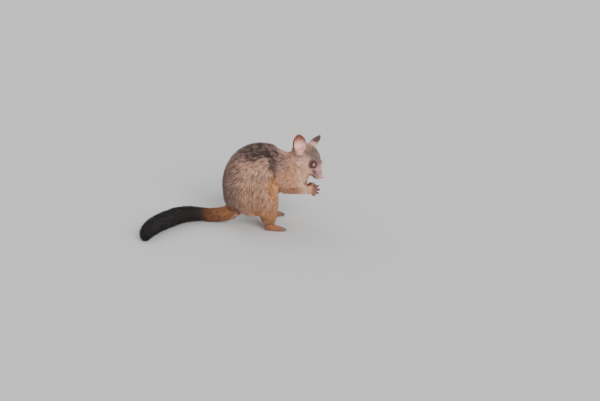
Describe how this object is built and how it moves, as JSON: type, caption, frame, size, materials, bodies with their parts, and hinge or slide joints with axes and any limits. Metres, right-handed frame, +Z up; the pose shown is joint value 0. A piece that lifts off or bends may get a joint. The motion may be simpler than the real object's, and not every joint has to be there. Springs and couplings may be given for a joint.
{
  "type": "brushtail possum",
  "caption": "Life-size still model of a brushtail possum hunched on its hind feet, forepaws held up before its bowed head, its bushy black tail laid along the floor.",
  "frame": {"origin": "on the floor, below the middle of the bounding box", "axes": "+X the way the possum faces, +Y its left side, +Z up; the tail runs back towards -X and bends round to -Y"},
  "size_m": [0.4988, 0.2436, 0.2648],
  "materials": {
    "grey_coat": "dense soft fur, grey brown with black tips",
    "pale_coat": "short fur, grey over cream",
    "tawny_coat": "dense fur, tawny",
    "rust_coat": "dense fur, rust brown",
    "black_coat": "long coarse fur, black",
    "ear_skin": "thin bare skin, pink",
    "nose_skin": "moist bare skin, pink",
    "paw_skin": "skin with thin short fur",
    "eye": "wet, dark brown",
    "claw": "horn, dark"
  },
  "bodies": {
    "root": {"claw_foot_left_1": "claw", "claw_foot_left_2": "claw", "claw_foot_left_3": "claw", "claw_foot_left_4": "claw", "claw_foot_right_1": "claw", "claw_foot_right_2": "claw", "claw_foot_right_3": "claw", "claw_foot_right_4": "claw", "claw_hand_left_1": "claw", "claw_hand_left_2": "claw", "claw_hand_left_3": "claw", "claw_hand_left_4": "claw", "claw_hand_left_5": "claw", "claw_hand_right_1": "claw", "claw_hand_right_2": "claw", "claw_hand_right_3": "claw", "claw_hand_right_4": "claw", "claw_hand_right_5": "claw", "ear_left": "ear_skin", "ear_right": "ear_skin", "eye_left": "eye", "eye_right": "eye", "foot_left": "paw_skin", "foot_right": "paw_skin", "foreleg_left": "tawny_coat", "foreleg_right": "tawny_coat", "hand_left": "paw_skin", "hand_right": "paw_skin", "head": "pale_coat", "hindleg_left": "tawny_coat", "hindleg_right": "tawny_coat", "neck": "pale_coat", "nose_pad": "nose_skin", "tail_base": "rust_coat", "tail_brush": "black_coat", "tail_tip": "black_coat", "torso": "grey_coat"}
  },
  "joints": []
}
